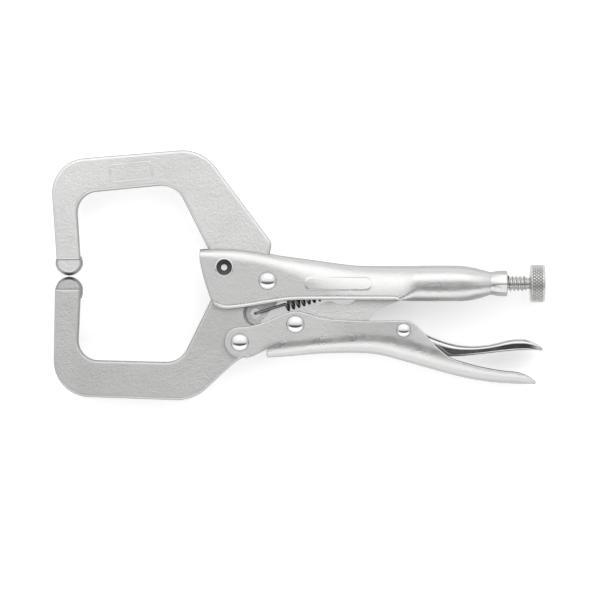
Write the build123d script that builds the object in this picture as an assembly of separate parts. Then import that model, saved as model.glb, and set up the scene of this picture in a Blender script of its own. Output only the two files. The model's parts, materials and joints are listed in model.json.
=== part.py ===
from build123d import *
import math
import os

# Locking C clamp, 150 mm (6 inch) size. Sizes are in millimetres.
# The tool lies on its side. X runs from the jaws to the adjusting knob, Y from the lower
# handle to the upper one, and Z is the thickness of the tool, up from the bench.
# Every piece is drawn around the jaw pivot at the middle of the thickness. At the end the
# whole tool is moved, so that the origin is at the middle of the bottom of its box.

# Pivots and other centres in the plane of the tool
JAW_PIVOT = (0.0, 0.0)
HANDLE_PIVOT = (-8.4, -18.6)
LINK_PIVOT = (8.4, -13.1)
LEVER_PIVOT = (41.1, -14.9)
JAW_RIVET = (-13.1, 4.3)
SPRING_HOLE = (-3.7, -9.9)
SCREW_AXIS = -0.8
TIP_AXIS = -60.1
TIP_GAP = 0.35
TIP_CONTACT = 1.6

# Longer than the tool is thick, for cuts that pass right through
THROUGH = 20.0

# Thicknesses across the tool
SHEET = 1.6
CHANNEL_INSIDE = 7.4
CHANNEL_HALF = CHANNEL_INSIDE / 2 + SHEET
FORGING = 7.0
RIM = 0.9
FORK_SLOT = 3.1
TONGUE = 2.8
LINK_PLATE = 4.0
LINK_EYE = 3.6
LEVER_SHEET = 1.2
LEVER_WIDTH = 6.8
LEVER_NOSE = 4.0
PADDLE_WIDTH = 9.4

# Rivets: shank radius, head radius and head height
PIVOT_SHANK = 2.0
PIVOT_HEAD = 2.7
PIVOT_DOME = 1.4
LEVER_SHANK = 1.5
LEVER_HEAD = 2.15
LEVER_DOME = 1.1
TUBE_SHANK = 2.4
TUBE_FLANGE = 2.85
TUBE_FLANGE_HEIGHT = 0.35
TUBE_BORE = 1.1
TUBE_DEPTH = 1.7

# Running clearance on radius, and the float of the link's eye between the ears
RUNNING = 0.05
EYE_FLOAT = 0.2

# Spring hole in the heel, and the coined recess round it, open to the heel's rear edge
SPRING_HOLE_RADIUS = 1.5
RECESS_RADIUS = 3.5
RECESS_DEPTH = 1.9
RECESS_TURN = 10.0
RECESS_REACH = 10.0

# Crescent groove along the front of the recess: outer circle, inner circle and its offset
GROOVE_OUTER = 3.7
GROOVE_INNER = 3.9
GROOVE_OFFSET = 1.15
GROOVE_DEPTH = 3.0

# Jaw tips: round about their axis, and flat on the tool's two faces
TIP_RADIUS = 4.15
TIP_COLLAR = 1.5
TIP_DOME = 3.3
TIP_EASE = 0.4
TIP_THICKNESS = 5.3
UPPER_TIP_ROOT = 7.4
LOWER_TIP_ROOT = -5.4

# Forked root of the fixed jaw and tongue of the movable jaw, around the jaw pivot
FORK_REACH = 5.0
TONGUE_RADIUS = 4.4
TONGUE_STEM = (-4.1, 2.5, -8.0, -2.0)

# Adjusting screw and knob
THREAD_RADIUS = 2.5
THREAD_END = 78.4
THREAD_NOSE = 1.2
NECK_RADIUS = 2.1
NECK_START = 66.9
NECK_END = 72.6
NECK_CORNER_RADIUS = 4.0
SCREW_TIP = 52.6
KNOB_START = 79.5
KNOB_LENGTH = 4.5
KNOB_RADIUS = 5.7
KNOB_SEAT = 1.6
KNOB_REAR_EDGE = 0.9
KNOB_FRONT_EDGE = 0.6
SOCKET_FLATS = 4.0
SOCKET_DEPTH = 2.4

# Return spring
SPRING_WIRE = 0.9
SPRING_COIL = 4.9
SPRING_LENGTH = 23.0
SPRING_TAIL = 4.4
SPRING_ANCHOR = (31.6, 1.1)
HOOK_DEPTH = 1.5
HOOK_CLEARANCE = 0.25
HOOK_BEND = 0.6
LEG_START = 1.2
LEG_REACH = 1.4
LEG_BEND = 0.8

# Tab inside the upper handle that holds the spring's leg
TAB_THICKNESS = 1.2
TAB_HEIGHT = 4.4
TAB_WIDTH = 4.0
TAB_HOLE = 0.8

# Sections of the upper handle: x, bottom, top, half width, bottom radius, top radius
UPPER_SECTIONS = [
    (-22.0, -12.0, 10.2, CHANNEL_HALF, 0.3, 1.8),
    (0.0, -12.0, 8.4, CHANNEL_HALF, 0.3, 2.6),
    (14.0, -12.0, 6.35, CHANNEL_HALF, 0.3, 3.4),
    (28.0, -12.0, 4.7, 5.6, 0.3, 4.2),
    (44.0, -12.0, 4.65, 6.2, 0.3, 4.9),
]
GRIP_SECTIONS = [
    (40.5, -6.3, 4.6, 6.1, 4.6, 4.9),
    (54.0, -6.4, 4.7, 6.3, 4.8, 4.9),
    (61.0, -6.1, 4.5, 6.0, 4.6, 4.6),
    (NECK_START + 0.3, -4.6, 3.0, 3.8, 2.6, 2.6),
]
GRIP_SLOT = 4.8

# Places in the upper handle: from x, to x, from y, to y
MECHANISM_SPACE = (6.0, 42.0, -5.5, 1.5)
GRIP_SLOT_PLACE = (36.0, 62.0, -10.0, -4.0)
JAW_SLOT_PLACE = (-25.0, 1.0, 4.0, 12.0)
UPPER_RIVET_FLATS = (-17.0, 3.0, -4.0, 8.0)

# Plan of the lower handle's tail
TAIL_END = 81.2
TAIL_HALF = 6.5
TAIL_CORNER = 4.5

# Places in the lower handle: from x, to x, from y, to y
EAR_SPACE = (-15.9, 0.1, -30.0, -10.0)
LOWER_RIVET_FLATS = (-16.0, 48.0, -21.0, -9.0)

# Places in the release lever: its cheeks, its nose, and the gap between the cheeks
LEVER_CHEEKS = (38.0, 44.0, -32.0, -8.0)
LEVER_NOSE_PLACE = (27.0, 43.0, -32.0, -8.0)
LEVER_GAP = (34.0, 46.0, -17.5, -6.5)

# Sections of the lower handle: x, bottom, half width, bottom radius
LOWER_SECTIONS = [
    (-14.0, -23.8, CHANNEL_HALF, 2.6),
    (2.0, -23.2, CHANNEL_HALF, 3.0),
    (18.0, -22.1, CHANNEL_HALF, 4.0),
    (31.0, -22.1, CHANNEL_HALF, 4.6),
    (42.0, -24.6, CHANNEL_HALF, 4.8),
    (54.0, -28.1, 5.7, 4.6),
    (68.0, -30.9, 6.1, 4.2),
    (83.0, -31.5, 6.2, 4.0),
]


def plate(points, radii, thickness):
    """A plate in the plane of the tool, centred on its thickness, with rounded corners."""
    outline = FilletPolyline(*points, radius=radii, close=True)
    return extrude(make_face(outline), thickness / 2, both=True)


def disc(centre, radius, thickness):
    """A round plate across the tool, centred on its thickness."""
    return Pos(centre[0], centre[1], 0) * Cylinder(radius, thickness)


def block(place, thickness):
    """A box over a place in the plane of the tool, centred on its thickness."""
    left, right, bottom, top = place
    return Pos((left + right) / 2, (bottom + top) / 2, 0) * Box(right - left, top - bottom, thickness)


def outside(place, half):
    """What stands over a place beyond half the thickness, on both faces."""
    return block(place, THROUGH) - block(place, 2 * half)


def section(x, bottom, top, half, bottom_radius, top_radius):
    """A rounded rectangle square to X."""
    outline = FilletPolyline(
        (-half, bottom),
        (half, bottom),
        (half, top),
        (-half, top),
        radius=[bottom_radius, bottom_radius, top_radius, top_radius],
        close=True,
    )
    across = Plane(origin=(x, 0, 0), x_dir=(0, 0, -1), z_dir=(1, 0, 0))
    return across * make_face(outline)


def rim_edges(shape, thickness):
    """The edges that bound the two flat faces of a plate."""
    flats = shape.faces().filter_by(Axis.Z).filter_by(lambda f: abs(abs(f.center().Z) - thickness / 2) < 0.01)
    return flats.edges()


def domed_rivet(centre, shank, head, dome, grip):
    """A rivet across the tool with a dome at each end, over sheets that are grip thick."""
    ball = (head**2 + dome**2) / (2 * dome)
    body = Cylinder(shank, grip)
    for side in (1, -1):
        sphere = Pos(0, 0, side * (grip / 2 + dome - ball)) * Sphere(ball)
        keep = Pos(0, 0, side * (grip / 2 + dome / 2)) * Cylinder(head + 1, dome)
        body += sphere & keep
    return Pos(centre[0], centre[1], 0) * body


def tubular_rivet(centre, grip):
    """The jaw's rivet: both ends are flared into a shallow cone with a flat bottom."""
    body = Cylinder(TUBE_SHANK, grip)
    for side in (1, -1):
        face = side * (grip / 2 + TUBE_FLANGE_HEIGHT)
        body += Pos(0, 0, face - side * TUBE_FLANGE_HEIGHT / 2) * Cylinder(TUBE_FLANGE, TUBE_FLANGE_HEIGHT)
        flare = Cone(TUBE_BORE, TUBE_SHANK, TUBE_DEPTH)
        if side < 0:
            flare = Rot(180, 0, 0) * flare
        body -= Pos(0, 0, face - side * TUBE_DEPTH / 2) * flare
    return Pos(centre[0], centre[1], 0) * body


def jaw_tip(contact, root):
    """A domed tip, round about an axis along Y but flat on both faces of the tool."""
    way = 1 if root > contact else -1
    collar = contact + way * TIP_DOME
    ball = (TIP_RADIUS**2 + TIP_DOME**2) / (2 * TIP_DOME)
    half_turn = math.asin(TIP_RADIUS / ball) / 2
    profile = Polyline(
        (0, contact),
        (0, root),
        (TIP_RADIUS - TIP_EASE, root),
        (TIP_RADIUS, root - way * TIP_COLLAR),
        (TIP_RADIUS, collar),
    )
    dome = ThreePointArc(
        (TIP_RADIUS, collar),
        (ball * math.sin(half_turn), contact + way * ball * (1 - math.cos(half_turn))),
        (0, contact),
    )
    tip = revolve(make_face(profile + dome), Axis.Y) & Box(THROUGH, THROUGH, TIP_THICKNESS)
    return Pos(TIP_AXIS, 0, 0) * tip


def fixed_jaw():
    """The upper forging: C arm, tip, and a forked root around the jaw pivot."""
    arm = plate(
        [
            (-63.8, 6.3),
            (-65.9, 36.2),
            (-19.9, 40.0),
            (1.3, 11.5),
            (0.3, 6.5),
            (-16.4, 6.5),
            (-27.8, 29.3),
            (-58.0, 26.4),
            (-56.7, 6.3),
        ],
        [0, 10.5, 12.5, 2.6, 0, 0, 7.5, 6.3, 0],
        FORGING,
    )
    arm = fillet(rim_edges(arm, FORGING), RIM)
    root = plate(
        [(-17.6, 8.0), (-17.6, 0.6), (-3.0, -4.4), (4.3, -2.0), (4.5, 3.5), (0.7, 7.0), (-1.0, 8.0)],
        [1.0, 3.4, 3.4, 3.2, 1.0, 1.0, 0],
        FORGING,
    )
    jaw = arm + root + jaw_tip(TIP_CONTACT, UPPER_TIP_ROOT)
    jaw -= disc(JAW_PIVOT, PIVOT_SHANK, FORGING + 1)
    jaw -= disc(JAW_RIVET, TUBE_SHANK, FORGING + 1)
    jaw -= disc(JAW_PIVOT, FORK_REACH, FORK_SLOT)
    jaw -= block((-FORK_REACH, FORK_REACH, -2 * FORK_REACH, 0.0), FORK_SLOT)
    return jaw


def movable_jaw():
    """The lower forging: C arm, tip, heel with the spring hole, and a tongue on the pivot."""
    arm = plate(
        [
            (-64.3, -2.4),
            (-64.9, -34.8),
            (-22.5, -36.3),
            (-10.4, -25.0),
            (-4.6, -21.4),
            (-2.2, -12.6),
            (3.2, -6.4),
            (-3.4, -5.6),
            (-17.2, -5.9),
            (-26.4, -24.7),
            (-57.6, -23.9),
            (-56.6, -2.4),
        ],
        [0, 11.0, 13.0, 12.0, 2.5, 4.0, 0, 0, 0, 7.0, 6.0, 0],
        FORGING,
    )
    arm = fillet(rim_edges(arm, FORGING), RIM)
    tongue = disc(JAW_PIVOT, TONGUE_RADIUS, TONGUE) + block(TONGUE_STEM, TONGUE)
    jaw = arm + tongue + jaw_tip(TIP_CONTACT - TIP_GAP, LOWER_TIP_ROOT)
    jaw -= disc(JAW_PIVOT, PIVOT_SHANK + RUNNING, FORGING)
    jaw -= disc(HANDLE_PIVOT, PIVOT_SHANK + RUNNING, FORGING + 1)
    jaw -= disc(SPRING_HOLE, SPRING_HOLE_RADIUS, FORGING + 1)
    recess = Cylinder(RECESS_RADIUS, RECESS_DEPTH)
    recess += Pos(RECESS_REACH / 2, 0, 0) * Box(RECESS_REACH, 2 * RECESS_RADIUS, RECESS_DEPTH)
    groove = Cylinder(GROOVE_OUTER, GROOVE_DEPTH)
    groove -= Pos(GROOVE_OFFSET, 0, 0) * Cylinder(GROOVE_INNER, GROOVE_DEPTH)
    around_hole = Pos(SPRING_HOLE[0], SPRING_HOLE[1], 0) * Rot(0, 0, RECESS_TURN)
    for side in (1, -1):
        jaw -= around_hole * Pos(0, 0, side * (FORGING - RECESS_DEPTH) / 2) * recess
        jaw -= around_hole * Pos(0, 0, side * (FORGING - GROOVE_DEPTH) / 2) * groove
    return jaw


def upper_blank(inset):
    """The folded sheet's outer shape, or with an inset the space inside it."""
    channel = [
        section(x, low, high - inset, half - inset, low_radius, max(high_radius - inset, 0.4))
        for x, low, high, half, low_radius, high_radius in UPPER_SECTIONS
    ]
    grip = [
        section(x, low + inset, high - inset, half - inset, low_radius - inset, high_radius - inset)
        for x, low, high, half, low_radius, high_radius in GRIP_SECTIONS
    ]
    return loft(channel), loft(grip)


def upper_handle():
    """The upper handle: a folded sheet, open below, with an oval grip and a tapped neck."""
    side = plate(
        [
            (-20.4, 9.6),
            (-12.0, 9.8),
            (0.0, 8.4),
            (28.0, 4.65),
            (43.0, 4.65),
            (43.0, -6.1),
            (9.8, -5.9),
            (0.6, -7.0),
            (-10.3, -8.6),
            (-15.9, -8.9),
            (-18.2, -3.0),
            (-20.6, 6.6),
        ],
        [0, 30, 60, 40, 0, 0, 40, 20, 20, 3.6, 20, 6],
        THROUGH,
    )
    channel_outer, grip_outer = upper_blank(0)
    channel_inner, grip_inner = upper_blank(SHEET)
    neck_length = NECK_END - NECK_START
    octagon = RegularPolygon(NECK_CORNER_RADIUS, 8)
    along = Plane(origin=(NECK_START, SCREW_AXIS, 0), x_dir=(0, 1, 0), z_dir=(1, 0, 0))
    handle = (channel_outer & side) - channel_inner
    handle += grip_outer - grip_inner
    handle += extrude(along * octagon, neck_length)
    handle -= block(MECHANISM_SPACE, CHANNEL_INSIDE)
    handle -= block(GRIP_SLOT_PLACE, GRIP_SLOT)
    handle -= block(JAW_SLOT_PLACE, FORGING)
    bore = Rot(0, 90, 0) * Cylinder(THREAD_RADIUS + RUNNING, THROUGH)
    handle -= Pos(NECK_START, SCREW_AXIS, 0) * bore
    handle -= disc(JAW_PIVOT, PIVOT_SHANK, THROUGH)
    handle -= disc(JAW_RIVET, TUBE_SHANK, THROUGH)
    handle -= outside(UPPER_RIVET_FLATS, CHANNEL_HALF)
    tab = Pos(TAB_THICKNESS / 2, TAB_THICKNESS, 0) * Box(TAB_THICKNESS, TAB_HEIGHT, TAB_WIDTH)
    tab -= Rot(0, 90, 0) * Cylinder(TAB_HOLE, THROUGH)
    return handle + Pos(SPRING_ANCHOR[0], SPRING_ANCHOR[1], 0) * tab


def lower_handle():
    """The lower handle: a folded sheet, open above, with two ears and a trough for a tail."""
    side = plate(
        [
            (-12.6, -14.4),
            (-7.0, -14.4),
            (-0.9, -12.9),
            (3.7, -10.7),
            (8.8, -9.2),
            (16.0, -11.6),
            (30.0, -12.5),
            (42.9, -12.0),
            (54.6, -23.9),
            (62.0, -26.0),
            (76.9, -28.2),
            (81.1, -30.5),
            (80.8, -31.4),
            (63.0, -30.2),
            (50.0, -27.2),
            (34.0, -21.9),
            (16.0, -21.9),
            (0.4, -23.5),
            (-1.2, -21.2),
            (-4.6, -22.6),
            (-9.0, -23.4),
            (-12.6, -23.3),
        ],
        [4.0, 8, 8, 12, 5, 12, 40, 4.5, 3, 40, 6, 0.4, 0.4, 50, 60, 30, 60, 0.3, 0.3, 3, 3, 3.3],
        THROUGH,
    )
    outer = loft([section(x, low, -4.0, half, radius, 0.3) for x, low, half, radius in LOWER_SECTIONS])
    inner = loft(
        [
            section(x, low + SHEET, 0.0, half - SHEET, max(radius - SHEET, 0.4), 0.3)
            for x, low, half, radius in LOWER_SECTIONS
        ]
    )
    plan = Pos(TAIL_END / 2, 0) * RectangleRounded(TAIL_END, 2 * TAIL_HALF, TAIL_CORNER)
    plan += Rectangle(TAIL_END, 2 * TAIL_HALF)
    below = Plane(origin=(0, -2 * THROUGH, 0), x_dir=(1, 0, 0), z_dir=(0, 1, 0))
    handle = (outer & side & extrude(below * plan, 2 * THROUGH)) - inner
    handle -= block(EAR_SPACE, CHANNEL_INSIDE)
    handle -= disc(HANDLE_PIVOT, PIVOT_SHANK, THROUGH)
    handle -= disc(LINK_PIVOT, PIVOT_SHANK, THROUGH)
    handle -= disc(LEVER_PIVOT, LEVER_SHANK, THROUGH)
    return handle - outside(LOWER_RIVET_FLATS, CHANNEL_HALF)


def toggle_link():
    """The toggle link: an eye between the ears, a humped plate, and a rounded rear end."""
    link = plate(
        [
            (5.0, -9.5),
            (12.5, -8.6),
            (19.0, -5.8),
            (23.0, -8.0),
            (27.0, -5.6),
            (36.0, -1.4),
            (47.5, 1.8),
            (49.2, -2.6),
            (41.0, -5.6),
            (33.6, -8.6),
            (30.2, -12.5),
            (28.0, -15.8),
            (14.0, -16.2),
            (5.4, -16.8),
        ],
        [3, 8, 3, 5, 6, 20, 2, 2, 10, 8, 6, 2, 8, 3],
        LINK_PLATE,
    )
    link += disc(LINK_PIVOT, LINK_EYE, CHANNEL_INSIDE - EYE_FLOAT)
    return link - disc(LINK_PIVOT, PIVOT_SHANK + RUNNING, THROUGH)


def release_lever():
    """The release lever: an inverted channel with a nose under the link and a rear paddle."""
    side = plate(
        [
            (30.6, -18.2),
            (36.0, -17.8),
            (38.0, -12.8),
            (44.0, -13.0),
            (48.5, -16.8),
            (62.0, -20.2),
            (76.5, -17.0),
            (83.7, -19.8),
            (83.4, -20.8),
            (66.0, -21.9),
            (54.0, -23.0),
            (43.0, -19.2),
            (31.0, -19.6),
        ],
        [0.5, 3, 2.5, 2.5, 8, 30, 6, 0.4, 0.2, 40, 10, 8, 0.5],
        THROUGH,
    )
    # The paddle's stations along X, the height of its back and half its width at each
    spine = (43.0, 52.0, 62.0, 70.0, 77.0, 84.5)
    tops = (-12.0, -17.7, -19.6, -18.5, -17.4, -20.2)
    halves = (LEVER_WIDTH / 2, LEVER_WIDTH / 2, LEVER_WIDTH / 2, 4.5, PADDLE_WIDTH / 2, 3.9)
    outer = [section(x, -30, top, half, 0.3, 1.9) for x, top, half in zip(spine, tops, halves)]
    inner = [
        section(x, -32, top - LEVER_SHEET, half - LEVER_SHEET, 0.3, 0.8)
        for x, top, half in zip(spine, tops, halves)
    ]
    front = block(LEVER_CHEEKS, LEVER_WIDTH) + block(LEVER_NOSE_PLACE, LEVER_NOSE)
    lever = side & (front + loft(outer, ruled=True))
    lever -= loft(inner, ruled=True)
    lever -= block(LEVER_GAP, LEVER_WIDTH - 2 * LEVER_SHEET)
    return lever - disc(LEVER_PIVOT, LEVER_SHANK + RUNNING, THROUGH)


def return_spring():
    """The return spring: a coil with a hook through the heel and a leg through the tab."""
    start = Vector(*SPRING_HOLE)
    end = Vector(*SPRING_ANCHOR)
    span = (end - start).length
    turn = math.degrees(math.atan2(end.Y - start.Y, end.X - start.X))
    wire = SPRING_WIRE / 2
    mean = (SPRING_COIL - SPRING_WIRE) / 2
    hook_height = FORGING / 2 - RECESS_DEPTH + wire + HOOK_CLEARANCE
    coil = Cylinder(mean + wire, SPRING_LENGTH) - Cylinder(mean - wire, SPRING_LENGTH)
    coil_start = span - SPRING_TAIL - SPRING_LENGTH
    body = Pos(coil_start + SPRING_LENGTH / 2, 0, 0) * Rot(0, 90, 0) * coil
    hook_end = (0, 0, -HOOK_DEPTH)
    hook = FilletPolyline(hook_end, (0, 0, hook_height), (coil_start + wire, 0, mean), radius=HOOK_BEND)
    body += sweep(Plane(origin=hook_end) * Circle(wire), path=hook)
    leg = FilletPolyline(
        (coil_start + SPRING_LENGTH - wire, mean, 0),
        (span - SPRING_TAIL + LEG_START, mean, 0),
        (span - LEG_REACH, 0, 0),
        (span + LEG_REACH, 0, 0),
        radius=LEG_BEND,
    )
    body += sweep(Plane(origin=leg @ 0, z_dir=(1, 0, 0)) * Circle(wire), path=leg)
    return Pos(start.X, start.Y, 0) * Rot(0, 0, turn) * body


def adjusting_screw():
    """The adjusting screw: a rounded tip, the thread at its major diameter, a plain neck."""
    body = Pos((SCREW_TIP + THREAD_END) / 2, 0, 0) * Rot(0, 90, 0) * Cylinder(
        THREAD_RADIUS, THREAD_END - SCREW_TIP
    )
    body = fillet(body.edges().group_by(Axis.X)[0], THREAD_NOSE)
    neck_end = KNOB_START + KNOB_SEAT
    neck = Cylinder(NECK_RADIUS, neck_end - THREAD_END)
    body += Pos((neck_end + THREAD_END) / 2, 0, 0) * Rot(0, 90, 0) * neck
    return Pos(0, SCREW_AXIS, 0) * body


def adjusting_knob():
    """The knob: a short drum with rounded edges and a hexagon socket in its rear face."""
    drum = Cylinder(KNOB_RADIUS, KNOB_LENGTH)
    drum = fillet(drum.edges().group_by(Axis.Z)[-1], KNOB_REAR_EDGE)
    drum = fillet(drum.edges().group_by(Axis.Z)[0], KNOB_FRONT_EDGE)
    seat = KNOB_SEAT + RUNNING
    drum -= Pos(0, 0, -KNOB_LENGTH / 2 + seat / 2) * Cylinder(NECK_RADIUS + RUNNING, seat)
    socket = extrude(RegularPolygon(SOCKET_FLATS / 2, 6, major_radius=False), SOCKET_DEPTH)
    drum -= Pos(0, 0, KNOB_LENGTH / 2 - SOCKET_DEPTH) * socket
    return Pos(KNOB_START + KNOB_LENGTH / 2, SCREW_AXIS, 0) * Rot(0, 90, 0) * drum


# What every rivet passes through: the full width of the folded channels
GRIP = 2 * CHANNEL_HALF

nodes = {
    "upper_handle": upper_handle(),
    "fixed_jaw": fixed_jaw(),
    "fixed_jaw_rivet": tubular_rivet(JAW_RIVET, GRIP),
    "jaw_pivot_rivet": domed_rivet(JAW_PIVOT, PIVOT_SHANK, PIVOT_HEAD, PIVOT_DOME, GRIP),
    "movable_jaw": movable_jaw(),
    "lower_handle": lower_handle(),
    "handle_pivot_rivet": domed_rivet(HANDLE_PIVOT, PIVOT_SHANK, PIVOT_HEAD, PIVOT_DOME, GRIP),
    "link_pivot_rivet": domed_rivet(LINK_PIVOT, PIVOT_SHANK, PIVOT_HEAD, PIVOT_DOME, GRIP),
    "release_lever_rivet": domed_rivet(LEVER_PIVOT, LEVER_SHANK, LEVER_HEAD, LEVER_DOME, GRIP),
    "toggle_link": toggle_link(),
    "release_lever": release_lever(),
    "return_spring": return_spring(),
    "adjusting_screw": adjusting_screw(),
    "adjusting_knob": adjusting_knob(),
}

box = Compound(children=[Compound(s.solids()) for s in nodes.values()]).bounding_box()
SHIFT = (-(box.min.X + box.max.X) / 2, -(box.min.Y + box.max.Y) / 2, -box.min.Z)

os.makedirs("parts", exist_ok=True)
for name, shape in nodes.items():
    export_step(Pos(*SHIFT) * shape, f"parts/{name}.step")
    print(name, len(shape.solids()), round(shape.volume, 1))
print("box", box.size, "shift", SHIFT)
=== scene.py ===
import json
import math
import bpy
import numpy as np
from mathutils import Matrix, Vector


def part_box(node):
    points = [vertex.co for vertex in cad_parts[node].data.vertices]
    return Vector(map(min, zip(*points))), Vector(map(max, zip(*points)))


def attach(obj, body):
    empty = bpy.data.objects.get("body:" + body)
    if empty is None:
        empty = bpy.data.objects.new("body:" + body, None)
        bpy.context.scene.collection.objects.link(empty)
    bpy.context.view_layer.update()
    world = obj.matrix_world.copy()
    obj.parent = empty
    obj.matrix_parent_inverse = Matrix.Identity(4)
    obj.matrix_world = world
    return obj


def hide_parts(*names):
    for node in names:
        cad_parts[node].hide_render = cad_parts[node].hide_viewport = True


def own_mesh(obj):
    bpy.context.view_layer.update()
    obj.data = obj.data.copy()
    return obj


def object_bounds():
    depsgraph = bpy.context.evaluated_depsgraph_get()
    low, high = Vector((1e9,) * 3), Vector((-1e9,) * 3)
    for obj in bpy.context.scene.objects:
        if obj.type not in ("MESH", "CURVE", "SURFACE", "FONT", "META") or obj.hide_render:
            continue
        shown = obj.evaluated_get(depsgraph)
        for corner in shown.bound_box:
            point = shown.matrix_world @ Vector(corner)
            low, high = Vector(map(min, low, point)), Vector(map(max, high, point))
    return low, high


# Locking C clamp: the looks. Shapes are drawn in millimetres around the jaw pivot, at the middle
# of the tool's thickness, and put in place from the pivot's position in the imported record.
# X runs from the jaws to the knob, Y from the lower handle to the upper one, Z is up.

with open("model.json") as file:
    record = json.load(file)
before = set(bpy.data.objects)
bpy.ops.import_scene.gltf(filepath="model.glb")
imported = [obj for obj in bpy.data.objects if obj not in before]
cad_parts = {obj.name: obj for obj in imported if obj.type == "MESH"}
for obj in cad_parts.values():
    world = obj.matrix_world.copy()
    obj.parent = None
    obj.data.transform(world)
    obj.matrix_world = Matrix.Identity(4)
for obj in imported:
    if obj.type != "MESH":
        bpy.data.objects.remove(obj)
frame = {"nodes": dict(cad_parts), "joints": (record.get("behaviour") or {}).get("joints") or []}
cad_low, cad_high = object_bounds()
JOINTS = {joint["name"]: joint for joint in frame["joints"]}
PIVOT = np.array(JOINTS["jaw_hinge"]["pos_m"])
MM = 0.001
ROUND = 72            # segments round a screw or a rivet
WELD_DISTANCE = 0.005
RIM_STEPS = 8
RIM_ROUNDNESS = 0.7

ROOT = "upper_handle_body"
LOWER_BODY = "lower_handle_body"
RELEASE = "release_lever_body"
SCREW = "screw_body"
KNOB = "knob_body"


def centre(joint):
    """A joint's centre in the plane of the tool, in mm from the jaw pivot."""
    return (np.array(JOINTS[joint]["pos_m"]) - PIVOT)[:2] / MM


def node_box(node):
    """A CAD node's corners in mm from the jaw pivot."""
    low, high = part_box(node)
    return (np.array(low) - PIVOT) / MM, (np.array(high) - PIVOT) / MM


# ---------------------------------------------------------------- curves and meshes


def smooth(x, knots):
    """A smooth curve through (x, y) knots that doesn't overshoot them (PCHIP)."""
    xs = np.array([k[0] for k in knots], float)
    ys = np.array([k[1] for k in knots], float)
    h = np.diff(xs)
    d = np.diff(ys) / h
    m = np.zeros(len(xs))
    m[0] = d[0]
    m[-1] = d[-1]
    for i in range(1, len(xs) - 1):
        if d[i - 1] * d[i] > 0:
            w1 = 2 * h[i] + h[i - 1]
            w2 = h[i] + 2 * h[i - 1]
            m[i] = (w1 + w2) / (w1 / d[i - 1] + w2 / d[i])
    x = np.clip(x, xs[0], xs[-1])
    i = np.clip(np.searchsorted(xs, x) - 1, 0, len(h) - 1)
    t = (x - xs[i]) / h[i]
    a = 2 * t**3 - 3 * t**2 + 1
    b = t**3 - 2 * t**2 + t
    c = -2 * t**3 + 3 * t**2
    e = t**3 - t**2
    return a * ys[i] + b * h[i] * m[i] + c * ys[i + 1] + e * h[i] * m[i + 1]


def ease(x, start, end):
    """0 before start, 1 after end, smooth between."""
    t = np.clip((x - start) / (end - start), 0.0, 1.0)
    return t * t * (3 - 2 * t)


def sample(points, distances):
    """The points at those distances along a polyline."""
    steps = np.hypot(*np.diff(points, axis=0).T)
    run = np.concatenate([[0.0], np.cumsum(steps)])
    return np.column_stack([np.interp(distances, run, points[:, k]) for k in range(2)])


def length(points):
    """The length of a polyline."""
    return np.hypot(*np.diff(points, axis=0).T).sum()


def resample(points, count):
    """count + 1 points evenly spaced along a polyline."""
    return sample(points, np.linspace(0.0, 1.0, count + 1) * length(points))


def mesh_object(name, vertices, faces, sharp=35.0):
    """A mesh object from points in mm around the jaw pivot."""
    mesh = bpy.data.meshes.new(name)
    placed = np.array(vertices, float) * MM + PIVOT
    mesh.from_pydata(placed.tolist(), [], faces)
    mesh.update()
    thing = bpy.data.objects.new(name, mesh)
    bpy.context.scene.collection.objects.link(thing)
    shade(thing, sharp)
    return thing


def shade(thing, sharp):
    """Smooth shading, with edges over that many degrees kept sharp."""
    mesh = thing.data
    mesh.polygons.foreach_set("use_smooth", [True] * len(mesh.polygons))
    mesh.set_sharp_from_angle(angle=math.radians(sharp))


def both_sides(columns):
    """The points of a symmetric grid whose columns run from the tool's middle out to one side."""
    vertices = []
    for column in columns:
        vertices += [(x, y, -z) for x, y, z in reversed(column[1:])] + column
    return vertices


def grid_faces(columns, rows, skip=None):
    """Quads of a grid whose points run row by row within each column."""
    faces = []
    for i in range(columns - 1):
        for j in range(rows - 1):
            if skip is None or not skip(i, j):
                a = i * rows + j
                faces.append((a, a + rows, a + rows + 1, a + 1))
    return faces


def thicken(thing, thickness, rim):
    """Makes an open surface a sheet: an inner face, and a rounded rim round every border."""
    mesh = thing.data
    outward = sum(p.normal.z * (p.center.z - PIVOT[2]) for p in mesh.polygons)
    if outward < 0:
        mesh.flip_normals()
    count = len(mesh.vertices)
    outer = np.array([v.co[:] for v in mesh.vertices])
    normal = np.array([v.normal[:] for v in mesh.vertices])
    inner = outer - normal * thickness * MM
    faces = [list(p.vertices) for p in mesh.polygons]
    edges = {(a, b) for f in faces for a, b in zip(f, f[1:] + f[:1])}
    border = sorted((a, b) for a, b in edges if (b, a) not in edges)
    away = np.zeros((count, 3))
    for a, b in border:
        along = outer[b] - outer[a]
        step = np.cross(along / max(np.linalg.norm(along), 1e-9), normal[a] + normal[b])
        away[a] += step
        away[b] += step
    away /= np.maximum(np.linalg.norm(away, axis=1), 1e-9)[:, None]
    points = [outer, inner]
    chains = {}
    top = 2 * count
    turns = [math.pi * k / RIM_STEPS for k in range(1, RIM_STEPS)]
    for v in sorted({v for edge in border for v in edge}):
        middle = (outer[v] + inner[v]) / 2
        half = (outer[v] - inner[v]) / 2
        row = []
        for t in turns:
            lift = math.copysign(abs(math.cos(t)) ** RIM_ROUNDNESS, math.cos(t))
            row.append(middle + half * lift + away[v] * rim * MM * math.sin(t) ** RIM_ROUNDNESS)
        chains[v] = [v] + list(range(top, top + len(row))) + [v + count]
        top += len(row)
        points.append(np.array(row))
    solid = faces + [[v + count for v in reversed(f)] for f in faces]
    for a, b in border:
        for k in range(len(turns) + 1):
            solid.append([chains[b][k], chains[a][k], chains[a][k + 1], chains[b][k + 1]])
    sheet = bpy.data.meshes.new(mesh.name)
    sheet.from_pydata(np.concatenate(points).tolist(), [], solid)
    sheet.update()
    thing.data = sheet
    shade(thing, 50)


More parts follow.
